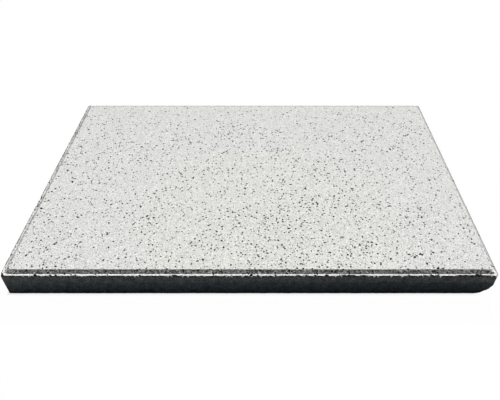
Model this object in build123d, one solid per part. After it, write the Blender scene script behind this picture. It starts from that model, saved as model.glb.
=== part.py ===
from build123d import *
from math import sqrt
import os

# A concrete paving slab, pressed in one piece. Millimetres, +Z up. It lies flat on its
# underside, with its length along X and its front edge towards -Y. The origin is at the
# middle of the underside.

# The slab
slab_length = 600.0
slab_width = 400.0
slab_thickness = 38.0
corner_radius = 2.5  # upright corners, as the mould leaves them
arris_radius = 0.8  # edge round the underside, worn by handling

# The stepped bevel round the walking face
rim_at_sides = 2.2  # flat rim between a long side and the foot of the bevel
rim_at_ends = 4.0  # and the wider rim along the two short ends
bevel_width = 4.6
bevel_drop = 3.6

# The lower front corner on the right, knocked off and worn round
break_along_length = 23.0
break_along_width = 20.0
break_height = 24.0
break_radius = 36.0  # the break is rounded like part of a ball

# How far a cutting body runs past the faces that it cuts
cut_overrun = 1.0

rim_level = slab_thickness - bevel_drop


def rectangle_inside(margin, level):
    """The slab's plan drawn in by the rim and a further margin, at a height."""
    length = slab_length - 2 * (rim_at_ends + margin)
    width = slab_width - 2 * (rim_at_sides + margin)
    return Plane.XY.offset(level) * Rectangle(length, width)


def body_below_the_rim():
    """The block with upright sides, rounded corners and a worn edge round the underside."""
    plan = RectangleRounded(slab_length, slab_width, corner_radius)
    block = extrude(plan, amount=rim_level)
    lower_edges = block.faces().sort_by(Axis.Z).first.edges()
    return fillet(lower_edges, min(arris_radius, corner_radius))


def face_above_the_rim():
    """The raised walking face, with its bevel mitred at the four corners."""
    foot = rectangle_inside(0, rim_level)
    top = rectangle_inside(bevel_width, slab_thickness)
    return loft([foot, top])


def broken_corner():
    """What the break took away: the corner's box, less a ball through the break's ends.

    Measured inward from the lost corner, a ball that passes through the ends on all three
    edges has its centre at (end ** 2 + power) / (2 * end) along each edge. Power is the
    square of the corner's distance from that centre, less the square of the radius.
    """
    ends = (break_along_length, break_along_width, break_height)
    squares = sum(end**2 for end in ends)
    inverses = sum(1 / end**2 for end in ends)
    power = (sqrt(1 + inverses * (4 * break_radius**2 - squares)) - 1) / inverses
    in_x, in_y, in_z = ((end**2 + power) / (2 * end) for end in ends)

    corner = Pos(slab_length / 2, -slab_width / 2, 0)
    box = Box(
        break_along_length + cut_overrun,
        break_along_width + cut_overrun,
        break_height + cut_overrun,
        align=(Align.MAX, Align.MIN, Align.MIN),
    )
    ball = Pos(-in_x, in_y, in_z) * Sphere(break_radius)
    return corner * (Pos(cut_overrun, -cut_overrun, -cut_overrun) * box - ball)


paving_slab = body_below_the_rim() + face_above_the_rim() - broken_corner()

os.makedirs("parts", exist_ok=True)
export_step(paving_slab, "parts/paving_slab.step")
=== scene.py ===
# %% [markdown]
# # A concrete paving slab
# One pressed slab lies on a white floor: a pale, pitted walking face, a stepped bevel with
# a thin rim round it, dark sides, and one lower corner knocked off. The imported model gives
# the slab's box. This file gives the slab its pores, its crumbled edges and its finishes,
# and never moves or resizes it. All lengths are in metres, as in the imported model.

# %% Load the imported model
import math

import bmesh
import bpy
import numpy as np
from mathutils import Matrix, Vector, noise


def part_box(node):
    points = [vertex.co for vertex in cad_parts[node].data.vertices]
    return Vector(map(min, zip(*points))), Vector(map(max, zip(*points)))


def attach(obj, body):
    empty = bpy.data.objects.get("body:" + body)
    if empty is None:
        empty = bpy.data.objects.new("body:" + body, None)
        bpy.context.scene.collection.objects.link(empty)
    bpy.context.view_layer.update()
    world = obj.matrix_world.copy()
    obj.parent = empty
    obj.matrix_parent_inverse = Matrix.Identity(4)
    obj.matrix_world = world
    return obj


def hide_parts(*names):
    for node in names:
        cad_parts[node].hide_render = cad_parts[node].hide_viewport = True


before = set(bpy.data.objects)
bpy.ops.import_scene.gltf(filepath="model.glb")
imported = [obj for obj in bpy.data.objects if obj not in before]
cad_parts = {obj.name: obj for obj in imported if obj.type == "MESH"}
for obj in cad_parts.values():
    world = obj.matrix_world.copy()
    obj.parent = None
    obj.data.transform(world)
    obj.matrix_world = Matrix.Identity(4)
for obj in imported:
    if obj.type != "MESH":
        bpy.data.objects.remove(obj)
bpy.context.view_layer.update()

lowest, highest = (Vector(corner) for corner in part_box("paving_slab"))
MM = 0.001
print("slab box in mm", [round(size / MM, 1) for size in highest - lowest])

# %% [markdown]
# ## The camera
# The slab is seen from the front and well above it, squarely, so its front and back edges
# stay level in the picture. A camera is easiest to place when its viewing line is known:
# here the place, the tilt and the focal length come from the slab's four corners, and a
# little sideways shift keeps the edges level where a turn of the camera would tilt them.

# %% Place the camera
camera_place = Vector((15.7, -583.1, 486.8)) * MM
camera_tilt_down = math.radians(40.95)
camera_lens = 35.17
camera_sensor = 36.0
camera_shift = -0.0243

camera = bpy.data.objects.new("camera", bpy.data.cameras.new("camera"))
camera.location = camera_place
camera.rotation_euler = (math.pi / 2 - camera_tilt_down, 0, 0)
camera.data.lens = camera_lens
camera.data.sensor_width = camera_sensor
camera.data.shift_x = camera_shift
bpy.context.collection.objects.link(camera)
bpy.context.scene.camera = camera
print("camera at", [round(value, 3) for value in camera_place])

# %% [markdown]
# ## Short words for nodes
# Every finish below, and each tool that cuts the slab, is a tree of nodes. Writing each
# link out takes many lines, so one small helper adds a node, sets its values and links its
# inputs in a single call. An input may be a plain value, a socket or another node. The
# other helpers are the few kinds of node that come up again and again.


# %% A helper that adds nodes
def add(tree, kind, inputs=None, **settings):
    """Adds a node. A key of inputs is a socket's name or number."""
    made = tree.nodes.new(kind)
    for name, value in settings.items():
        setattr(made, name, value)
    for name, value in (inputs or {}).items():
        socket = made.inputs[name]
        if isinstance(value, bpy.types.Node):
            value = next(output for output in value.outputs if output.enabled)
        if isinstance(value, bpy.types.NodeSocket):
            tree.links.new(value, socket)
        else:
            socket.default_value = value
    return made


# %% Helpers for numbers and places
def calculate(tree, operation, first, second=0.0):
    """A Math node with two inputs."""
    return add(tree, "ShaderNodeMath", {0: first, 1: second}, operation=operation)


def product(tree, first, second):
    """Two numbers multiplied."""
    return calculate(tree, "MULTIPLY", first, second)


def stretch(tree, value, low, high, to_low, to_high):
    """A Map Range node: the span from low to high becomes to_low to to_high, and stops there."""
    spans = {"Value": value, "From Min": low, "From Max": high, "To Min": to_low, "To Max": to_high}
    return add(tree, "ShaderNodeMapRange", spans)


def vector_math(tree, operation, first, second=(0.0, 0.0, 0.0), result="Vector"):
    """A Vector Math node with two inputs."""
    made = add(tree, "ShaderNodeVectorMath", {0: first, 1: second}, operation=operation)
    return made.outputs[result]


def parts_of(tree, place):
    """The X, Y and Z of a place."""
    return add(tree, "ShaderNodeSeparateXYZ", {"Vector": place}).outputs


# %% Helpers for colour and noise
def blend(tree, factor, first, second, mode="MIX"):
    """A Mix node for colours."""
    ends = {0: factor, 6: first, 7: second}
    return add(tree, "ShaderNodeMix", ends, data_type="RGBA", blend_type=mode)


def tint(tree, factor, colour, tone):
    """The colour multiplied by a tone, as far as the factor says."""
    return blend(tree, factor, colour, tone, "MULTIPLY")


def noise_at(tree, place, size, detail=2.0, roughness=0.5):
    """Soft noise whose blots are about as large as size."""
    values = {"Vector": place, "Scale": 1 / size, "Detail": detail, "Roughness": roughness}
    return add(tree, "ShaderNodeTexNoise", values)


def crumbly_at(tree, place, size):
    """Noise with more of the small blots, as in broken concrete."""
    return noise_at(tree, place, size, detail=3.0, roughness=0.6)


def noise_span(tree, blots, reach, low, high):
    """Noise keeps near one half: what lies within reach of that becomes low to high."""
    return stretch(tree, blots, 0.5 - reach, 0.5 + reach, low, high)


# %% [markdown]
# ## Floor, world and lamp
# A cut-out picture of a product has a pure white ground and almost no shadow. More light
# would bleach the slab, so the floor and the world are white only for rays that come
# straight from the camera, or by way of a shiny or clear surface. To all other rays the
# floor is plain pale paint. It still takes a little of the slab's shadow, and it is less
# white in the narrow crack of shade along the slab's foot.
#
# The walking face is bright while the bevel towards the viewer is dark, so the main light
# comes from behind and a little from the right, at about the slope of the bevel. A lamp
# close by would light the far edge more than the near one. This one is so far off that it
# lights the whole face evenly, and its width in the sky makes the shadows soft.

# %% The finish of the white ground
floor_paint = (0.80, 0.80, 0.80, 1.0)
white_share = 0.985
white_share_at_slab = 0.74
shade_reach = 2.6 * MM
broken_reach = 24.0 * MM


def rays_that_see_white(tree):
    """One for a ray from the camera, or one passed on by shine or glass."""
    path = add(tree, "ShaderNodeLightPath").outputs
    shine = calculate(tree, "MAXIMUM", path["Is Camera Ray"], path["Is Glossy Ray"])
    return calculate(tree, "MAXIMUM", shine, path["Is Transmission Ray"])


def shade_at_foot(tree):
    """One at the slab's foot, fading outwards, and nothing where the corner is broken off."""
    place = add(tree, "ShaderNodeTexCoord").outputs["Object"]
    folded = vector_math(tree, "ABSOLUTE", place)
    outside = vector_math(tree, "SUBTRACT", folded, (highest.x, highest.y, 0.0))
    away = vector_math(tree, "LENGTH", vector_math(tree, "MAXIMUM", outside), result="Value")
    near = stretch(tree, away, 0.0, shade_reach, 1.0, 0.0)
    from_corner = vector_math(tree, "DISTANCE", place, (highest.x, lowest.y, lowest.z), "Value")
    whole = stretch(tree, from_corner, broken_reach / 2, broken_reach, 0.0, 1.0)
    return product(tree, near, whole)


def white_floor_finish():
    """Pale paint to the light, and white to the eye."""
    finish = bpy.data.materials.new("white_floor")
    finish.use_nodes = True
    tree = finish.node_tree
    tree.nodes.clear()
    white = stretch(tree, shade_at_foot(tree), 0.0, 1.0, white_share, white_share_at_slab)
    seen = product(tree, rays_that_see_white(tree), white)
    paint = add(tree, "ShaderNodeBsdfDiffuse", {"Color": floor_paint})
    glow = add(tree, "ShaderNodeEmission", {"Color": (1, 1, 1, 1), "Strength": 1.0})
    both = add(tree, "ShaderNodeMixShader", {0: seen, 1: paint, 2: glow})
    add(tree, "ShaderNodeOutputMaterial", {"Surface": both})
    return finish


# %% Lay the floor and light the room
floor_half = 6.0
world_strength = 0.06

floor_mesh = bpy.data.meshes.new("floor")
floor_corners = [(-1, -1), (1, -1), (1, 1), (-1, 1)]
floor_points = [(x * floor_half, y * floor_half, lowest.z) for x, y in floor_corners]
floor_mesh.from_pydata(floor_points, [], [(0, 1, 2, 3)])
floor_mesh.materials.append(white_floor_finish())
floor = bpy.data.objects.new("floor", floor_mesh)
bpy.context.collection.objects.link(floor)

world = bpy.data.worlds.new("soft_white_room")
bpy.context.scene.world = world
world.use_nodes = True
world.node_tree.nodes.clear()
room = stretch(world.node_tree, rays_that_see_white(world.node_tree), 0, 1, world_strength, 1.0)
sky = add(world.node_tree, "ShaderNodeBackground", {"Color": (1, 1, 1, 1), "Strength": room})
add(world.node_tree, "ShaderNodeOutputWorld", {"Surface": sky})
bpy.context.scene.view_settings.view_transform = "Standard"
print("floor", floor_half * 2, "m wide, world", world_strength)

# %% Hang the lamp
lamp_way = Vector((0.22, 0.77, 0.61)).normalized()
lamp_width = math.radians(7.0)
lamp_strength = 5.9

lamp_data = bpy.data.lights.new("far_soft_lamp", "SUN")
lamp_data.angle = lamp_width
lamp_data.energy = lamp_strength
lamp = bpy.data.objects.new("far_soft_lamp", lamp_data)
lamp.location = lamp_way
lamp.rotation_euler = lamp_way.to_track_quat("Z", "Y").to_euler()
bpy.context.collection.objects.link(lamp)
print("lamp", round(math.degrees(math.asin(lamp_way.z))), "degrees up, behind the slab")

# %% [markdown]
# ## Finishes of the concrete
# Concrete is sand and stone in a fine paste, and it looks different wherever it was pressed,
# rubbed or broken. A picture wrapped round the slab would bring its own light and shade with
# it. So all finishes are made from noise on the slab's own coordinates: nothing slides when
# the slab is seen from the other side, and each tone can be set by itself. One helper makes
# every matt finish. A finish then only says what its colour is, and how coarse its relief.


# %% A helper for a matt concrete finish
matt_roughness = 0.9


def concrete(name, colour_of, shine, relief_size, relief_height):
    """A matt finish. colour_of(tree, place) gives its colour, and a fine noise its relief."""
    finish = bpy.data.materials.new(name)
    finish.use_nodes = True
    tree = finish.node_tree
    tree.nodes.clear()
    place = add(tree, "ShaderNodeTexCoord").outputs["Object"]
    relief = crumbly_at(tree, place, relief_size)
    bump = add(tree, "ShaderNodeBump", {"Height": relief, "Strength": 1.0, "Distance": relief_height})
    values = {
        "Base Color": colour_of(tree, place),
        "Roughness": matt_roughness,
        "Specular IOR Level": shine,
        "Normal": bump,
    }
    shader = add(tree, "ShaderNodeBsdfPrincipled", values)
    add(tree, "ShaderNodeOutputMaterial", {"Surface": shader})
    return finish


def grain_tones(tree, place, size):
    """A random tone from 0 to 1 for each grain, and the way to the middle of its grain."""
    astray = noise_at(tree, place, size).outputs["Color"]
    moved = {0: astray, 1: (size, size, size), 2: place}
    moved = add(tree, "ShaderNodeVectorMath", moved, operation="MULTIPLY_ADD")
    cells = add(tree, "ShaderNodeTexVoronoi", {"Vector": moved, "Scale": 1 / size})
    tone = add(tree, "ShaderNodeSeparateColor", {"Color": cells.outputs["Color"]}).outputs["Red"]
    return tone, cells.outputs["Distance"]


# %% [markdown]
# ## Tones of the edges
# Where the mould let go, the fine skin of the slab is torn. The bevels of the long sides show
# coarse open grain up to the mitre at each corner, and a little past it at the left. The thin
# rim in front is painted whiter, a painted highlight along its lit edge. The bevel behind faces
# the lamp and is painted darker, a painted shade. The bevel at the left end carries patches of
# soil, the rim at the right end is duller, and so is a strip of the face along the back. Each
# could have a material of its own, but then each would end in a hard line. So they are tones in
# one finish, blended in by the place on the slab.

# %% Sizes of the edges
corner_radius = 2.5 * MM
arris_radius = 0.8 * MM
rim_at_sides = 2.2 * MM
rim_at_ends = 4.0 * MM
bevel_width = 4.6 * MM
bevel_drop = 3.6 * MM
slab_top = highest.z
rim_level = slab_top - bevel_drop
half_length = highest.x
half_width = highest.y
side_bevel_top = half_width - rim_at_sides - bevel_width
end_bevel_top = half_length - rim_at_ends - bevel_width
print("rim at", round(rim_level / MM, 1), "mm")

# %% The long edges
edge_blur = 1.0 * MM
mitre_blur = 0.2 * MM
grain_past_left_mitre = 2.0 * MM
grain_from_depth = 0.2 * MM
grain_full_depth = 0.6 * MM
open_grain_size = 1.9 * MM
open_grain_span = (0.14, 1.66)
open_grain_at_rim = 1.34
open_grain_at_face = 0.78
# Painted shade on the bevel behind, which faces the lamp, and a painted highlight on the front rim.
back_bevel_painted_shade = (0.54, 0.54, 0.52, 1.0)
front_rim_painted_highlight = (0.99, 0.99, 0.97, 1.0)
highlight_full_height = 0.1 * MM
highlight_last_height = 0.5 * MM


def on_long_side(tree, parts):
    """One on the long side's part of each corner, and nothing past the mitre."""
    past_side = calculate(tree, "SUBTRACT", calculate(tree, "ABSOLUTE", parts["Y"]), side_bevel_top)
    past_end = calculate(tree, "SUBTRACT", calculate(tree, "ABSOLUTE", parts["X"]), end_bevel_top)
    beside_mitre = calculate(tree, "SUBTRACT", past_side, past_end)
    further = stretch(tree, parts["X"], -edge_blur, edge_blur, grain_past_left_mitre, 0.0)
    beside_mitre = calculate(tree, "ADD", beside_mitre, further)
    return stretch(tree, beside_mitre, -mitre_blur, mitre_blur, 0.0, 1.0)


def open_grain(tree, place, parts):
    """Coarse grains on a bevel, darker towards the walking face."""
    tone, _ = grain_tones(tree, place, open_grain_size)
    darker = stretch(tree, parts["Z"], rim_level, slab_top, open_grain_at_rim, open_grain_at_face)
    return product(tree, stretch(tree, tone, 0.0, 1.0, *open_grain_span), darker)


def long_edge_tones(tree, place, parts, colour):
    """Open grain on the long bevels, painted shade on the one behind, and a painted highlight on the
    rim in front.
    """
    in_front = stretch(tree, parts["Y"], -side_bevel_top, edge_blur - side_bevel_top, 1.0, 0.0)
    behind = stretch(tree, parts["Y"], side_bevel_top - edge_blur, side_bevel_top, 0.0, 1.0)
    full_level = slab_top - grain_full_depth
    below_face = stretch(tree, parts["Z"], full_level, slab_top - grain_from_depth, 1.0, 0.0)
    below_face = product(tree, below_face, on_long_side(tree, parts))
    on_bevel = product(tree, below_face, calculate(tree, "ADD", in_front, behind))
    colour = tint(tree, on_bevel, colour, open_grain(tree, place, parts))
    # Painted shade: the bevel behind is darkened where it faces the lamp.
    colour = tint(tree, product(tree, below_face, behind), colour, back_bevel_painted_shade)
    # Painted highlight: the thin rim in front is whitened.
    highlight_level = rim_level + highlight_full_height
    low = stretch(tree, parts["Z"], highlight_level, rim_level + highlight_last_height, 1.0, 0.0)
    return blend(tree, product(tree, low, in_front), colour, front_rim_painted_highlight)


# %% The short edges and the far strip
soil_size = 14 * MM
soil_reach = 0.1
soil_from = 0.8 * MM
soil_full = 1.8 * MM
soil_darkest_in_front = 0.76
soil_darkest_behind = 0.58
soil_lightest = 1.06
dull_rim_from = 3.4 * MM
dull_rim_full = 2.6 * MM
dull_rim_tone = 0.64
far_strip_from = 5.0 * MM
far_strip_full = 1.5 * MM
far_strip_tone = 0.82


def short_edge_tones(tree, place, parts, colour):
    """Patches of soil on the left bevel, darker towards the back, and a dull rim at the right."""
    left = -end_bevel_top
    on_left = stretch(tree, parts["X"], left - soil_full, left - soil_from, 1.0, 0.0)
    darkest = (soil_darkest_in_front, soil_darkest_behind)
    darkest = stretch(tree, parts["Y"], -half_width, half_width, *darkest)
    patches = crumbly_at(tree, place, soil_size)
    patches = noise_span(tree, patches, soil_reach, darkest, soil_lightest)
    colour = tint(tree, on_left, colour, patches)
    right = half_length
    dull = stretch(tree, parts["X"], right - dull_rim_from, right - dull_rim_full, 1.0, dull_rim_tone)
    return tint(tree, 1.0, colour, dull)


def edge_tones(tree, place, colour):
    """The tones of all edges, and a duller strip of the walking face along the back."""
    parts = parts_of(tree, place)
    colour = long_edge_tones(tree, place, parts, colour)
    colour = short_edge_tones(tree, place, parts, colour)
    back = side_bevel_top
    strip = stretch(tree, parts["Y"], back - far_strip_from, back - far_strip_full, 1.0, far_strip_tone)
    return tint(tree, 1.0, colour, strip)


# %% [markdown]
# ## The walking face and its pores
# The walking face is fine pale concrete, as rough as coarse sandpaper: sand grains of
# slightly different greys, a few dark grains, and a faint warm patch in the middle of the
# front. Its colour is painted a little darker towards the back, a painted shade where the
# light falls off. The grains are cells of a Voronoi texture, each with a tone of its own,
# pushed about by noise so that no cell has straight sides. Plain noise would give clouds
# instead of grains. The pores are cut into the slab further down, and their inside is
# painted almost black: painted shade in the pits.

# %% The walking face
face_warm = (0.745, 0.750, 0.713, 1.0)
face_cool = (0.741, 0.741, 0.727, 1.0)
warm_middle = (37 * MM, -130 * MM, slab_top)
warm_reach = 140 * MM
warm_fade = 230 * MM
warm_edge_size = 90 * MM
warm_edge_swing = 40 * MM
# Painted shade: the face is painted a shade darker towards the back, where the light falls off.
painted_falloff_in_front = 1.003
painted_falloff_behind = 0.931
sand_size = 0.95 * MM
sand_span = (0.67, 1.25)
dark_grain_colour = (0.16, 0.16, 0.16, 1.0)
dark_grain_size = 2.6 * MM
dark_grain_from = 0.8
dark_grain_reach = 0.3
dark_grain_edge = (-0.02, 0.06)
dark_grain_share = 0.8


def warm_patch(tree, place):
    """One in the warm patch, fading outwards along a wandering edge."""
    astray = noise_at(tree, place, warm_edge_size)
    astray = noise_span(tree, astray, 0.2, -warm_edge_swing, warm_edge_swing)
    from_middle = vector_math(tree, "DISTANCE", place, warm_middle, "Value")
    from_middle = calculate(tree, "ADD", from_middle, astray)
    return stretch(tree, from_middle, warm_reach, warm_fade, 1.0, 0.0)


def dark_grains(tree, place):
    """How dark a place is: only the cells with the highest tones hold a dark grain."""
    tone, to_middle = grain_tones(tree, place, dark_grain_size)
    reach = stretch(tree, tone, dark_grain_from, 1.0, 0.0, dark_grain_reach)
    inside = calculate(tree, "SUBTRACT", reach, to_middle)
    return stretch(tree, inside, *dark_grain_edge, 0.0, dark_grain_share)


def walking_face_colour(tree, place):
    """Pale concrete with its sand, its dark grains and the tones of its edges."""
    colour = blend(tree, warm_patch(tree, place), face_cool, face_warm)
    # Painted falloff of the light: darker towards the back.
    tones = (painted_falloff_in_front, painted_falloff_behind)
    duller = stretch(tree, parts_of(tree, place)["Y"], -half_width, half_width, *tones)
    colour = tint(tree, 1.0, colour, duller)
    tone, _ = grain_tones(tree, place, sand_size)
    colour = tint(tree, 1.0, colour, stretch(tree, tone, 0.0, 1.0, *sand_span))
    colour = blend(tree, dark_grains(tree, place), colour, dark_grain_colour)
    return edge_tones(tree, place, colour)


face_relief = {"shine": 0.12, "relief_size": 1.0 * MM, "relief_height": 1.2 * MM}
walking_face = concrete("pale_walking_face", walking_face_colour, **face_relief)
print("nodes of the walking face", len(walking_face.node_tree.nodes))

# %% The pores
# The inside of each pit is painted almost black: painted shade in the pores.
pore_painted_shade_dark = (0.02, 0.02, 0.02, 1.0)
pore_painted_shade_light = (0.06, 0.06, 0.06, 1.0)
pore_blot_size = 6 * MM


def painted_pore_shade(tree, place):
    """Painted shade: almost black, and a little lighter here and there."""
    return blend(tree, noise_at(tree, place, pore_blot_size), pore_painted_shade_dark, pore_painted_shade_light)


pore_relief = {"shine": 0.1, "relief_size": 0.5 * MM, "relief_height": 0.2 * MM}
shaded_face_pore = concrete("shaded_pore", painted_pore_shade, **pore_relief)
shaded_side_pore = concrete("shaded_side_pore", painted_pore_shade, **pore_relief)
print("nodes of a pore", len(shaded_face_pore.node_tree.nodes))

# %% [markdown]
# ## The sides, the break and the underside
# The sides are the same concrete in charcoal, with a paler band under the rim, where the fine
# mix of the walking face reaches down, and an almost black foot: painted shade where the side
# meets the ground. Two materials would meet in a straight line. So a Color Ramp over the height
# holds these tones, and noise in the height makes their borders wavy. The lower part is painted
# lighter at the left and darker at the right, as painted light. Blots, grain, dark patches near
# the ground and shaded places under the rim go over that. The break and the underside were
# never pressed smooth: they are grains of two greys.

# %% Tones by height
# The lowest stop is painted shade: the almost black foot where the side meets the ground.
side_tones = [
    (3.1 * MM, (0.002, 0.003, 0.004, 1.0)),
    (4.5 * MM, (0.044, 0.055, 0.063, 1.0)),
    (20.2 * MM, (0.068, 0.081, 0.088, 1.0)),
    (22.4 * MM, (0.098, 0.107, 0.107, 1.0)),
]
slow_wave_size = 45 * MM
slow_wave_swing = 1.2 * MM
quick_wave_size = 6 * MM
quick_wave_swing = 0.6 * MM


def wavy_height(tree, place):
    """Height above the ground, a little higher here and lower there."""
    slow = noise_at(tree, place, slow_wave_size)
    slow = noise_span(tree, slow, 0.2, -slow_wave_swing, slow_wave_swing)
    quick = noise_at(tree, place, quick_wave_size)
    quick = noise_span(tree, quick, 0.2, -quick_wave_swing, quick_wave_swing)
    waves = calculate(tree, "ADD", slow, quick)
    return calculate(tree, "ADD", parts_of(tree, place)["Z"], waves)


def tones_by_height(tree, height):
    """A Color Ramp whose stops are the tones of the side, from the ground to the rim."""
    share = stretch(tree, height, lowest.z, highest.z, 0.0, 1.0)
    ramp = add(tree, "ShaderNodeValToRGB", {"Fac": share})
    stops = ramp.color_ramp.elements
    while len(stops) < len(side_tones):
        stops.new(1.0)
    for stop, (level, tone) in zip(stops, side_tones):
        stop.position = level / highest.z
        stop.color = tone
    return ramp.outputs["Color"]


# %% The sides
# Painted light: the lower part of the sides is lighter at the left and darker at the right.
painted_light_at_left = 1.34
painted_shade_at_right = 0.72
pale_band_from = 20 * MM
pale_band_full = 22 * MM
change_in_pale_band = 0.3
blot_size = 8 * MM
blot_span = (0.6, 1.4)
side_grain_size = 2 * MM
side_grain_span = (0.45, 1.55)
dark_patch_full_height = 5 * MM
dark_patch_last_height = 9 * MM
dark_patch_size = 12 * MM
dark_patch_noise = (0.56, 0.64)
dark_patch_tone = 0.1
rim_shade_last_depth = 4 * MM
rim_shade_full_depth = 2 * MM
rim_shade_size = 2.5 * MM
rim_shade_span = (0.15, 1.2)


def side_colour(tree, place):
    """Charcoal by height, painted lighter at the left and darker at the right as painted light, then
    blots, grain, dark patches near the ground and shade under the rim.
    """
    height = wavy_height(tree, place)
    colour = tones_by_height(tree, height)
    along = parts_of(tree, place)["X"]
    # Painted light across the side, from left to right.
    painted_light_across = stretch(tree, along, lowest.x, highest.x, painted_light_at_left, painted_shade_at_right)
    lower = stretch(tree, height, pale_band_from, pale_band_full, 1.0, change_in_pale_band)
    colour = tint(tree, lower, colour, painted_light_across)
    blots = noise_span(tree, crumbly_at(tree, place, blot_size), 0.2, *blot_span)
    grain = noise_at(tree, place, side_grain_size, detail=3.0, roughness=0.7)
    grain = noise_span(tree, grain, 0.2, *side_grain_span)
    for tone in (blots, grain):
        colour = tint(tree, 1.0, colour, tone)
    # Darker patches near the ground.
    near_ground = stretch(tree, height, dark_patch_full_height, dark_patch_last_height, 1.0, 0.0)
    dark_patches = stretch(tree, noise_at(tree, place, dark_patch_size), *dark_patch_noise, 1.0, dark_patch_tone)
    colour = tint(tree, near_ground, colour, dark_patches)
    shade_from = rim_level - rim_shade_last_depth
    under_rim = stretch(tree, height, shade_from, rim_level - rim_shade_full_depth, 0.0, 1.0)
    shade = noise_span(tree, noise_at(tree, place, rim_shade_size), 0.1, *rim_shade_span)
    return tint(tree, under_rim, colour, shade)


side_relief = {"shine": 0.1, "relief_size": 1.6 * MM, "relief_height": 0.4 * MM}
formed_side = concrete("charcoal_side", side_colour, **side_relief)
print("nodes of the sides", len(formed_side.node_tree.nodes))

# %% The break and the underside
broken_dark = (0.040, 0.046, 0.050, 1.0)
broken_light = (0.090, 0.094, 0.094, 1.0)
broken_grain_size = 4 * MM


def broken_colour(tree, place):
    """Grains of two greys."""
    tone, _ = grain_tones(tree, place, broken_grain_size)
    return blend(tree, tone, broken_dark, broken_light)


broken_relief = {"shine": 0.1, "relief_size": 1.5 * MM, "relief_height": 0.6 * MM}
broken_face = concrete("broken_corner", broken_colour, **broken_relief)
underside_relief = {"shine": 0.1, "relief_size": 2.0 * MM, "relief_height": 0.4 * MM}
underside = concrete("underside", broken_colour, **underside_relief)
print("finishes", len(bpy.data.materials))

# %% [markdown]
# ## The slab's shell
# The slab has one outline, and each of its edges is that outline drawn in by some margin
# at some height. So the shell is a stack of rings round the same outline, joined by bands
# of faces and closed by a flat cap at each end. A bevel modifier would give clean machine
# edges. Rings let each edge crumble in its own way: a little noise moves every ring
# inwards, never outwards, so the slab keeps its size.
#
# The rim has lost small nicks all round, apart from its right end, which is even. In front
# it is knocked about near the left, rubbed narrower near the right, and chipped at the left
# tip and once near the right end. The front left and back right corners are worn round.

# %% Walk round the outline
walk_step = 1.6 * MM
corner_steps = 6


def outline_walk():
    """Anchor points inside the corner arcs, and the outward way at each, anticlockwise."""
    inner_x = half_length - corner_radius
    inner_y = half_width - corner_radius
    corners = [(inner_x, -inner_y), (inner_x, inner_y), (-inner_x, inner_y), (-inner_x, -inner_y)]
    anchors = []
    ways = []
    for number, (x, y) in enumerate(corners):
        start_angle = math.pi / 2 * (number - 1)
        for part in range(corner_steps + 1):
            angle = start_angle + math.pi / 2 * part / corner_steps
            anchors.append((x, y))
            ways.append((math.cos(angle), math.sin(angle)))
        next_x, next_y = corners[(number + 1) % 4]
        steps = round(math.dist((x, y), (next_x, next_y)) / walk_step)
        for part in range(1, steps):
            share = part / steps
            anchors.append((x + (next_x - x) * share, y + (next_y - y) * share))
            ways.append(ways[-1])
    return np.array(anchors), np.array(ways)


anchors, ways = outline_walk()
print("points round the outline", len(anchors))


# %% Draw a ring
def ragged(size, seed, sharpness=1.0):
    """Noise from 0 to 1 along the outline, with blots about as long as size."""
    values = [noise.noise(Vector((x / size, y / size, seed))) for x, y in anchors]
    return np.clip(0.5 + np.array(values), 0, 1) ** sharpness


def round_ring(margin, level):
    """The slab's outline drawn in by a margin, with the rounded corners of the mould."""
    plan = anchors + ways * (corner_radius - margin)[:, None]
    return np.column_stack((plan, np.broadcast_to(level, len(anchors))))


def mitred_ring(margin, level):
    """The foot of the bevel drawn in by a margin, with sharp corners."""
    foot = np.array((half_length - rim_at_ends, half_width - rim_at_sides))
    anchor_rectangle = np.array((half_length, half_width)) - corner_radius
    plan = anchors * (foot - margin[:, None]) / anchor_rectangle
    return np.column_stack((plan, np.broadcast_to(level, len(anchors))))


def worn_corner(ring, radius, way):
    """The ring with one corner worn round. The way to it is 1 or -1 along X and along Y."""
    reached = ring[:, :2] * way
    away = (reached.max(axis=0) - reached).max(axis=1)
    push = (1 - math.sqrt(0.5)) * radius * np.clip(1 - away / radius, 0, 1) ** 2
    return ring - np.outer(push, (way[0], way[1], 0))


# %% Where the rim is nicked, knocked, rubbed and chipped
nick_size = 5 * MM
nick_limit = 0.79
nick_softness = 0.3
knocked_middle = -258 * MM
knocked_reach = 16 * MM
knocked_fullness = 1.3
knocked_limit_cut = 0.38
knocked_extra_depth = 0.4
rubbed_from = 255 * MM
rubbed_to = 291 * MM
rubbed_share = 0.45
chips = [((-half_length, -half_width), 5.5 * MM), ((274.5 * MM, -half_width), 4.3 * MM)]
facing_end = 0.7


def nicks():
    """How much of the rim is lost along the outline: a chip is 1, and a knock is up to 1.4."""
    along, across = anchors.T
    at_front = across < 0
    near_knock = knocked_fullness - abs(along - knocked_middle) / knocked_reach
    knocked = at_front * np.clip(near_knock, 0, 1)
    limit = nick_limit - knocked_limit_cut * knocked
    share = np.clip((ragged(nick_size, 7) - limit) / nick_softness, 0, 1)
    share = share * (1 + knocked_extra_depth * knocked)
    rubbed = at_front & (along > rubbed_from) & (along < rubbed_to)
    share = np.where(rubbed, np.maximum(share, rubbed_share), share)
    for (x, y), reach in chips:
        share = np.where(np.hypot(along - x, across - y) < reach, 1.0, share)
    return share


at_end = abs(ways[:, 0]) > facing_end
at_right = ways[:, 0] > facing_end
lost = np.where(at_right, 0.0, nicks())
print("nicked points", int((lost > 0).sum()))

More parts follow.
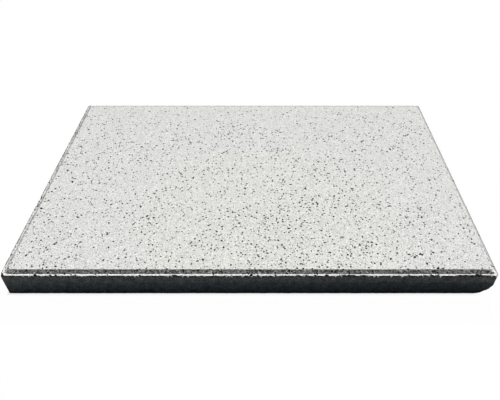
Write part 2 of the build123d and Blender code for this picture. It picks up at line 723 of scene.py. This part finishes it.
# %% How far the rim's outer edge is worn in, and how far down
wear_size = 4 * MM
least_wear = 0.3 * MM
more_wear = 1.1 * MM
least_wear_at_right = 0.6 * MM
more_wear_at_right = 0.2 * MM
fraying = 3.2
fraying_at_right = 0.5
slope_at_sides = 0.05 * MM
slope_at_ends = 0.4 * MM
fringe_size = 2.2 * MM
fringe_depth = 4.0 * MM
fringe_share = 1.45
fringe_sharpness = 4.5
fringe_at_ends = 0.25 * MM
least_fringe = 0.2 * MM
nick_depth = 2 * MM

patchy = ragged(wear_size, 8)
wear = np.where(at_end, least_wear + more_wear * patchy, 0.0)
wear = np.where(at_right, least_wear_at_right + more_wear_at_right * patchy, wear)
frayed = np.where(at_right, fraying_at_right, fraying)
slope = np.where(at_end, slope_at_ends, slope_at_sides)
fringe = fringe_share * fringe_depth * ragged(fringe_size, 6, fringe_sharpness)
fringe = np.where(at_end, fringe_at_ends, fringe)
drop = slope + np.clip(fringe + nick_depth * lost, least_fringe, fringe_depth)
print("fringe hangs down by", round(drop.min() / MM, 2), "to", round(drop.max() / MM, 2), "mm")

# %% Stack the rings of the bevel and the rim
crumb = 0.5 * MM
crumble_size = 2.5 * MM
fray_sharpness = 3.5
nick_reach = 3.0
edge_below_rim = 0.4
worn_front = [6.5 * MM, 6.5 * MM, 6.5 * MM, 6.0 * MM, 3.0 * MM]
worn_back = [6.5 * MM, 6.5 * MM, 6.5 * MM, 3.5 * MM, 3.0 * MM]


def crumbled(crumbs, seed):
    """A margin that wanders in and out over a width of some crumbs."""
    return crumbs * crumb * (ragged(crumble_size, seed) - 0.5)


frays = frayed * ragged(fringe_size, 4, fray_sharpness)
rings = [
    mitred_ring(bevel_width + crumbled(3.0, 1), slab_top),
    mitred_ring(bevel_width / 2 + crumbled(2.5, 2), slab_top - bevel_drop / 2),
    mitred_ring(crumbled(2.4, 3) + crumb * lost, rim_level),
    round_ring(wear + crumb * (frays + nick_reach * lost), rim_level - slope),
    round_ring(crumb * edge_below_rim * ragged(wear_size, 5), rim_level - drop),
]
pale_bands = 3
for way, radii in (((-1, -1), worn_front), ((1, 1), worn_back)):
    rings = [worn_corner(ring, radius, way) for ring, radius in zip(rings, radii)]
print("rings of the bevel and the rim", len(rings))

# %% Stack the rings of the sides and the lower edge
side_rows = 6
side_swing = 0.25 * MM
side_swing_size = 9 * MM
side_seed = 10
side_seed_step = 0.35
side_top = rim_level - fringe_depth - 2 * crumb
side_foot = 2 * arris_radius
foot_crumble = 0.5 * crumb
foot_crumble_size = 5 * MM
arris_seed = 20
underside_seed = 30

for row in range(side_rows):
    share = row / (side_rows - 1)
    level = side_top * (1 - share) + side_foot * share
    seed = side_seed + row * side_seed_step
    rings.append(round_ring(side_swing * ragged(side_swing_size, seed), level))
for angle in (math.radians(0), math.radians(45)):
    level = arris_radius * (1 - math.sin(angle))
    margin = arris_radius * (1 - math.cos(angle))
    margin = margin + foot_crumble * ragged(foot_crumble_size, arris_seed + angle)
    rings.append(round_ring(margin, level))
margin = arris_radius + foot_crumble * ragged(foot_crumble_size, underside_seed)
rings.append(round_ring(margin, 0.0))
print("rings in all", len(rings))

# %% Join the rings into a closed shell
finishes_of_shell = [walking_face, formed_side, underside]
PALE, DARK, BELOW = range(len(finishes_of_shell))
dark_from_loss = 0.2


def shell_of(rings):
    """Bands of faces between the rings, and a cap at the top and at the bottom."""
    count = len(anchors)
    faces = [list(range(count))]
    finishes = [PALE]
    for band in range(len(rings) - 1):
        top = band * count
        low = top + count
        for i in range(count):
            j = (i + 1) % count
            faces.append([top + i, low + i, low + j, top + j])
            fringed = band == pale_bands and not at_end[i] and lost[i] < dark_from_loss
            finishes.append(PALE if band < pale_bands or fringed else DARK)
    last = (len(rings) - 1) * count
    faces.append([last + i for i in reversed(range(count))])
    finishes.append(BELOW)
    mesh = bpy.data.meshes.new("slab_shell")
    mesh.from_pydata(np.concatenate(rings).tolist(), [], faces)
    for finish in finishes_of_shell:
        mesh.materials.append(finish)
    mesh.polygons.foreach_set("material_index", finishes)
    return mesh


shell = shell_of(rings)
print("faces joined", len(shell.polygons))

# %% [markdown]
# ## Cells in the walking face
# The top cap is a single face with more than a thousand corners. Thousands of pores will be
# cut into it, and one face with so many holes gets filled with long thin triangles, some of
# them wrong. A grid of cuts divides it into cells first, so that each has few holes to fill.

# %% Cut the walking face into cells
cell_size = 20 * MM
flat_within = 0.1 * MM
weld_reach = 1e-7
sliver_reach = 1e-8


def flat_top(work):
    """The faces that lie in the walking face, with their edges and points."""
    flat = [face for face in work.faces if face.calc_center_median().z > slab_top - flat_within]
    edges = {edge for face in flat for edge in face.edges}
    points = {point for face in flat for point in face.verts}
    return flat + list(edges) + list(points)


def cut_into_cells(work):
    """Cuts the walking face into squares, first across and then along the slab."""
    for axis, half in enumerate((half_length, half_width)):
        way = Vector((0.0, 0.0, 0.0))
        way[axis] = 1.0
        count = round(2 * half / cell_size)
        for number in range(1, count):
            place = way * (2 * number / count - 1) * half
            cut = {"geom": flat_top(work), "dist": weld_reach, "plane_co": place, "plane_no": way}
            bmesh.ops.bisect_plane(work, **cut)


work = bmesh.new()
work.from_mesh(shell)
bmesh.ops.remove_doubles(work, verts=work.verts, dist=weld_reach)
bmesh.ops.dissolve_degenerate(work, edges=work.edges, dist=sliver_reach)
cut_into_cells(work)
bmesh.ops.recalc_face_normals(work, faces=work.faces)
open_edges = sum(not edge.is_manifold for edge in work.edges)
work.to_mesh(shell)
work.free()
slab = bpy.data.objects.new("dressed_slab", shell)
bpy.context.collection.objects.link(slab)
print("shell faces", len(shell.polygons), "open edges", open_edges)

# %% [markdown]
# ## The broken corner
# The corner was knocked off and then worn round. Sculpting would do it by hand. Here a
# tree of nodes cuts it: a box on the corner, less a large rough ball that passes through
# the ends of the break, is taken away from the slab. The faces that a cut leaves are marked
# before it, so that Set Material can find them after it.


# %% Helpers for trees that cut
def new_tree(name, numbers, whole_numbers=()):
    """A geometry tree with named inputs: sizes, whole numbers and one finish."""
    tree = bpy.data.node_groups.new(name, "GeometryNodeTree")
    face = tree.interface
    face.new_socket("Geometry", in_out="INPUT", socket_type="NodeSocketGeometry")
    for number in numbers:
        face.new_socket(number, in_out="INPUT", socket_type="NodeSocketFloat")
    for number in whole_numbers:
        face.new_socket(number, in_out="INPUT", socket_type="NodeSocketInt")
    face.new_socket("Finish", in_out="INPUT", socket_type="NodeSocketMaterial")
    face.new_socket("Geometry", in_out="OUTPUT", socket_type="NodeSocketGeometry")
    return tree, tree.nodes.new("NodeGroupInput").outputs


def use_tree(piece, tree, values):
    """Puts the tree on a piece and sets its inputs by their identifiers."""
    modifier = piece.modifiers.new(tree.name, "NODES")
    modifier.node_group = tree
    for item in tree.interface.items_tree:
        if item.in_out == "INPUT" and item.name in values:
            modifier[item.identifier] = values[item.name]


def take_away(tree, body, lost):
    """What is left of one mesh when another is taken away."""
    both = {"Mesh 1": body, "Mesh 2": lost}
    return add(tree, "GeometryNodeMeshBoolean", both, operation="DIFFERENCE", solver="MANIFOLD")


def cut_and_finish(tree, given, lost):
    """Cuts, gives the new faces their finish and ends the tree."""
    mark = {"Geometry": lost, "Name": "fresh_cut", "Value": True}
    lost = add(tree, "GeometryNodeStoreNamedAttribute", mark, data_type="BOOLEAN", domain="FACE")
    unmarked = {"Geometry": given["Geometry"], "Name": "fresh_cut"}
    body = add(tree, "GeometryNodeRemoveAttribute", unmarked)
    left = add(tree, "GeometryNodeRealizeInstances", {"Geometry": take_away(tree, body, lost)})
    fresh = add(tree, "GeometryNodeInputNamedAttribute", {"Name": "fresh_cut"}, data_type="BOOLEAN")
    paint = {"Geometry": left, "Selection": fresh, "Material": given["Finish"]}
    left = add(tree, "GeometryNodeSetMaterial", paint)
    add(tree, "NodeGroupOutput", {"Geometry": left})


# %% Cut the broken corner
break_ends = Vector((23.0, 20.0, 24.0)) * MM
break_radius = 36.0 * MM
break_roughness = 1.6 * MM
break_bump_size = 6 * MM
ball_fineness = 6
overrun = 1.0 * MM
lost_corner = Vector((half_length, -half_width, 0.0))


def ball_centre(ends, radius):
    """How far inward from the lost corner a ball through the three ends has its centre."""
    squares = sum(end**2 for end in ends)
    inverses = sum(1 / end**2 for end in ends)
    power = (math.sqrt(1 + inverses * (4 * radius**2 - squares)) - 1) / inverses
    return Vector([(end**2 + power) / (2 * end) for end in ends])


def rough_ball(tree, given):
    """The ball that the break follows, its skin pushed in and out by noise."""
    ball = {"Radius": given["Ball Radius"], "Subdivisions": ball_fineness}
    ball = add(tree, "GeometryNodeMeshIcoSphere", ball)
    bumps = crumbly_at(tree, add(tree, "GeometryNodeInputPosition"), break_bump_size)
    push = product(tree, calculate(tree, "SUBTRACT", bumps, 0.5), given["Roughness"])
    along = {0: add(tree, "GeometryNodeInputNormal"), "Scale": push}
    along = add(tree, "ShaderNodeVectorMath", along, operation="SCALE")
    ball = add(tree, "GeometryNodeSetPosition", {"Geometry": ball, "Offset": along})
    inward = ball_centre(break_ends, break_radius)
    centre = lost_corner + Vector((-inward.x, inward.y, inward.z))
    return add(tree, "GeometryNodeTransform", {"Geometry": ball, "Translation": centre})


def corner_box(tree):
    """A box over the lost corner, as far as the ends of the break, and a little outside."""
    size = break_ends + Vector((1, 1, 1)) * overrun
    middle = lost_corner + Vector((-size.x, size.y, size.z)) / 2 + Vector((1, -1, -1)) * overrun
    box = add(tree, "GeometryNodeMeshCube", {"Size": size})
    return add(tree, "GeometryNodeTransform", {"Geometry": box, "Translation": middle})


def break_tree():
    """Cuts the box, less the ball, off the slab."""
    tree, given = new_tree("break_corner", ["Ball Radius", "Roughness"])
    cut_and_finish(tree, given, take_away(tree, corner_box(tree), rough_ball(tree, given)))
    return tree


break_sizes = {"Ball Radius": break_radius, "Roughness": break_roughness, "Finish": broken_face}
use_tree(slab, break_tree(), break_sizes)
print("break, mm along each edge", [round(end / MM, 1) for end in break_ends])

# %% [markdown]
# ## The pores
# Thousands of little pits, one to three millimetres across, speckle the walking face. Light
# from behind leaves the visible wall of each pit in shade, and that is what makes the slab
# look speckled. A painted dot would stay flat. So points are scattered over the
# face, each takes one of a few lumpy bowls at its own size and turn, and all the bowls are
# cut out of the slab at once. A bowl has few sides, because there are thousands of them.
#
# Each bowl stays an instance until the cut, and so is a cutter of its own: where two pores
# overlap they run into one. Joined before the cut, they would leave lids across each other.
#
# Pores gather in clusters, crowd together in the middle of the front, and are fewer along the
# far edge. One tree makes the rare holes in the sides, then the wide pores, and then the
# fine pores, most of which lie towards the front.

# %% Where the pores lie
cluster_size = 45 * MM
cluster_detail = 3.0
cluster_roughness = 0.7
cluster_reach = 0.15
share_between_clusters = 0.2
crowd_middle = (75 * MM, -150 * MM, slab_top)
crowd_reach = 50 * MM
crowd_fade = 130 * MM
share_outside_crowd = 0.72


def chance(tree, given, low, high, offset):
    """A random number for each point. Every use has an offset of its own from the seed."""
    seed = calculate(tree, "ADD", given["Seed"], offset)
    return add(tree, "FunctionNodeRandomValue", {2: low, 3: high, "Seed": seed})


def scattered_points(tree, given):
    """Points on the faces whose tilt is within the limits, none closer together than the gap."""
    facing = parts_of(tree, add(tree, "GeometryNodeInputNormal"))["Z"]
    above = calculate(tree, "GREATER_THAN", facing, given["Lowest Tilt"])
    below = calculate(tree, "LESS_THAN", facing, given["Highest Tilt"])
    scatter = {
        "Mesh": given["Geometry"],
        "Selection": product(tree, above, below),
        "Distance Min": given["Gap"],
        "Density Max": given["Per Area"],
        "Seed": given["Seed"],
    }
    return add(tree, "GeometryNodeDistributePointsOnFaces", scatter, distribute_method="POISSON")


def thinned(tree, given, points):
    """The points that stay: in clusters, fewer towards the back and away from the crowd."""
    place = add(tree, "GeometryNodeInputPosition")
    cluster = {"Vector": place, "W": given["Seed"], "Scale": 1 / cluster_size}
    cluster.update({"Detail": cluster_detail, "Roughness": cluster_roughness})
    cluster = add(tree, "ShaderNodeTexNoise", cluster, noise_dimensions="4D")
    cluster = noise_span(tree, cluster, cluster_reach, share_between_clusters, 1.0)
    back = parts_of(tree, place)["Y"]
    back = stretch(tree, back, given["Back From"], given["Back To"], 1.0, given["Back Share"])
    to_crowd = vector_math(tree, "DISTANCE", place, crowd_middle, "Value")
    crowd = stretch(tree, to_crowd, crowd_reach, crowd_fade, 1.0, share_outside_crowd)
    wanted = product(tree, product(tree, cluster, back), crowd)
    spare = calculate(tree, "GREATER_THAN", chance(tree, given, 0.0, 1.0, 1), wanted)
    spare = {"Geometry": points.outputs["Points"], "Selection": spare}
    return add(tree, "GeometryNodeDeleteGeometry", spare)


# %% The bowls that cut a pore
bowl_kinds = 6
bowl_top = 1.15
bowl_foot = 0.7
bowl_depth = 1.3
bowl_sink = 0.9
lump_scale = 0.9
lump_step = 3.7
lump_span = (0.6, 1.4)
longest_share = 1.7


def lumpy_bowl(tree, given, kind):
    """A bowl with a radius of about one, wide at the top, its wall made lumpy by noise."""
    bowl = {"Vertices": given["Sides"], "Radius Top": bowl_top, "Radius Bottom": bowl_foot}
    bowl = add(tree, "GeometryNodeMeshCone", {**bowl, "Depth": bowl_depth})
    place = add(tree, "GeometryNodeInputPosition")
    outward = vector_math(tree, "NORMALIZE", vector_math(tree, "MULTIPLY", place, (1.0, 1.0, 0.0)))
    lumps = {"Vector": outward, "W": kind * lump_step, "Scale": lump_scale}
    lumps = add(tree, "ShaderNodeTexNoise", lumps, noise_dimensions="4D")
    width = noise_span(tree, lumps, 0.2, *lump_span)
    size = add(tree, "ShaderNodeCombineXYZ", {"X": width, "Y": width, "Z": 1.0})
    place = vector_math(tree, "MULTIPLY", place, size)
    bowl = add(tree, "GeometryNodeSetPosition", {"Geometry": bowl, "Position": place})
    return add(tree, "GeometryNodeGeometryToInstance", {"Geometry": bowl})


def bowl_scale(tree, given):
    """The size of a pore: mostly near the smallest, and a few of them drawn out."""
    share = calculate(tree, "POWER", chance(tree, given, 0.0, 1.0, 2), 2.0)
    radius = stretch(tree, share, 0.0, 1.0, given["Smallest"], given["Largest"])
    share = calculate(tree, "POWER", chance(tree, given, 0.0, 1.0, 3), 3.0)
    longer = stretch(tree, share, 0.0, 1.0, 1.0, longest_share)
    deep = product(tree, radius, given["Depth Share"])
    scale = {"X": product(tree, radius, longer), "Y": radius, "Z": deep}
    return add(tree, "ShaderNodeCombineXYZ", scale)


# %% The tree that cuts pores
def placed_bowls(tree, given, bowls):
    """One bowl of a random kind, size and turn on each point, sunk into the face."""
    points = scattered_points(tree, given)
    which = {4: 0, 5: bowl_kinds - 1, "Seed": given["Seed"]}
    placed = {
        "Points": thinned(tree, given, points),
        "Instance": bowls,
        "Pick Instance": True,
        "Instance Index": add(tree, "FunctionNodeRandomValue", which, data_type="INT"),
        "Rotation": points.outputs["Rotation"],
        "Scale": bowl_scale(tree, given),
    }
    pits = add(tree, "GeometryNodeInstanceOnPoints", placed)
    turn = add(tree, "ShaderNodeCombineXYZ", {"Z": chance(tree, given, 0.0, math.tau, 4)})
    pits = add(tree, "GeometryNodeRotateInstances", {"Instances": pits, "Rotation": turn})
    sunk = {"Instances": pits, "Translation": (0.0, 0.0, -bowl_sink)}
    return add(tree, "GeometryNodeTranslateInstances", sunk)


def pore_tree():
    """Cuts a bowl out of the slab at each of the scattered points."""
    numbers = ["Per Area", "Gap", "Smallest", "Largest", "Depth Share", "Back Share"]
    numbers += ["Back From", "Back To", "Lowest Tilt", "Highest Tilt"]
    tree, given = new_tree("cut_pores", numbers, ["Sides", "Seed"])
    bowls = add(tree, "GeometryNodeJoinGeometry")
    for kind in range(bowl_kinds):
        tree.links.new(lumpy_bowl(tree, given, kind).outputs[0], bowls.inputs[0])
    cut_and_finish(tree, given, placed_bowls(tree, given, bowls))
    return tree


cut_pores = pore_tree()
print("nodes that cut pores", len(cut_pores.nodes))

# %% Cut holes in the sides, wide pores and fine pores
upward = {"Lowest Tilt": 0.6, "Highest Tilt": 2.0, "Finish": shaded_face_pore}
upright = {"Lowest Tilt": -0.3, "Highest Tilt": 0.3, "Finish": shaded_side_pore}
everywhere = {"Back From": -half_width, "Back To": half_width, "Back Share": 1.0}
less_behind = {"Back From": 105 * MM, "Back To": half_width, "Back Share": 0.2}
in_front = {"Back From": -120 * MM, "Back To": -40 * MM, "Back Share": 0.1}
holes = {"Per Area": 2500.0, "Gap": 7.0 * MM, "Smallest": 0.6 * MM, "Largest": 2.0 * MM}
holes.update({"Depth Share": 0.6, "Sides": 8, "Seed": 37})
wide = {"Per Area": 36000.0, "Gap": 2.3 * MM, "Smallest": 0.81 * MM, "Largest": 1.52 * MM}
wide.update({"Depth Share": 1.2, "Sides": 6, "Seed": 11})
fine = {"Per Area": 34000.0, "Gap": 2.0 * MM, "Smallest": 0.55 * MM, "Largest": 0.80 * MM}
fine.update({"Depth Share": 1.3, "Sides": 5, "Seed": 23})

use_tree(slab, cut_pores, {**holes, **upright, **everywhere})
use_tree(slab, cut_pores, {**wide, **upward, **less_behind})
use_tree(slab, cut_pores, {**fine, **upward, **in_front})

evaluated = slab.evaluated_get(bpy.context.evaluated_depsgraph_get())
finished = bpy.data.meshes.new_from_object(evaluated)
slab.modifiers.clear()
slab.data = finished
finished.attributes.remove(finished.attributes["fresh_cut"])
finished.calc_loop_triangles()
print("triangles", len(finished.loop_triangles))
print("finishes on the slab", [finish.name for finish in finished.materials])

# %% [markdown]
# ## A flat layout
# Other programs don't know these node trees, so the finishes can be painted into one
# picture, and the picture needs a place for every face. An automatic layout would tear the
# face into thousands of scraps, one for each pore. But a pore opens upwards, so seen from
# above nothing of it is hidden: the walking face is laid out just as seen from above, each
# side as seen from its own side in a strip below, and the underside small in the corner.
# The break shows from the front, so it takes the place that it left in the front strip.


# %% Read the finished mesh
def read(items, name, width=1, kind=float):
    """One property of all items of a mesh, as rows."""
    values = np.empty(len(items) * width, dtype=kind)
    items.foreach_get(name, values)
    return values.reshape(-1, width) if width > 1 else values


def has_finish(mesh, finish):
    """True for each face with that finish."""
    number = [slot.name for slot in mesh.materials].index(finish.name)
    return read(mesh.polygons, "material_index", kind=int) == number


# %% Lay the faces out
whole_width = 2 * half_length
face_bottom = 1 / 3
front_strip = 0.262
back_strip = 0.192
right_strip = 0.122
left_strip = 0.052
underside_left = 0.70
underside_share = 0.28
upward_from = 0.4


def layout(mesh):
    """The flat place of each corner of each face."""
    places = read(mesh.vertices, "co", 3)[read(mesh.loops, "vertex_index", kind=int)]
    middle = read(mesh.polygons, "center", 3)
    each = read(mesh.polygons, "loop_total", kind=int)

    upward = read(mesh.polygons, "normal", 3)[:, 2] > upward_from
    from_above = (upward & ~has_finish(mesh, shaded_side_pore)) | has_finish(mesh, shaded_face_pore)
    broken = has_finish(mesh, broken_face)
    to_end = half_length - abs(middle[:, 0]) < half_width - abs(middle[:, 1])
    at_front = broken | (~to_end & (middle[:, 1] < 0))
    at_right = to_end & (middle[:, 0] > 0)
    strips = {front_strip: at_front, back_strip: ~to_end, right_strip: at_right, left_strip: to_end}
    base = np.select(list(strips.values()), list(strips))

    along_x = (places[:, 0] + half_length) / whole_width
    along_y = (places[:, 1] + half_width) / whole_width
    up = places[:, 2] / whole_width
    across = np.where(np.repeat(to_end & ~broken, each), along_y, along_x)
    flat = np.column_stack((across, np.repeat(base, each) + up))
    above = np.column_stack((along_x, along_y + face_bottom))
    flat = np.where(np.repeat(from_above, each)[:, None], above, flat)
    small = np.column_stack((underside_left + underside_share * along_x, underside_share * along_y))
    return np.where(np.repeat(has_finish(mesh, underside), each)[:, None], small, flat)


flat_places = layout(finished)
flat_layout = finished.uv_layers.new(name="OFBake")
flat_layout.uv.foreach_set("vector", flat_places.ravel())
print("layout from", flat_places.min(axis=0).round(3), "to", flat_places.max(axis=0).round(3))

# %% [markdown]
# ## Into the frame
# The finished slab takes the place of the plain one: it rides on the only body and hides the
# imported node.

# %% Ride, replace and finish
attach(slab, "root")
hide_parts("paving_slab")
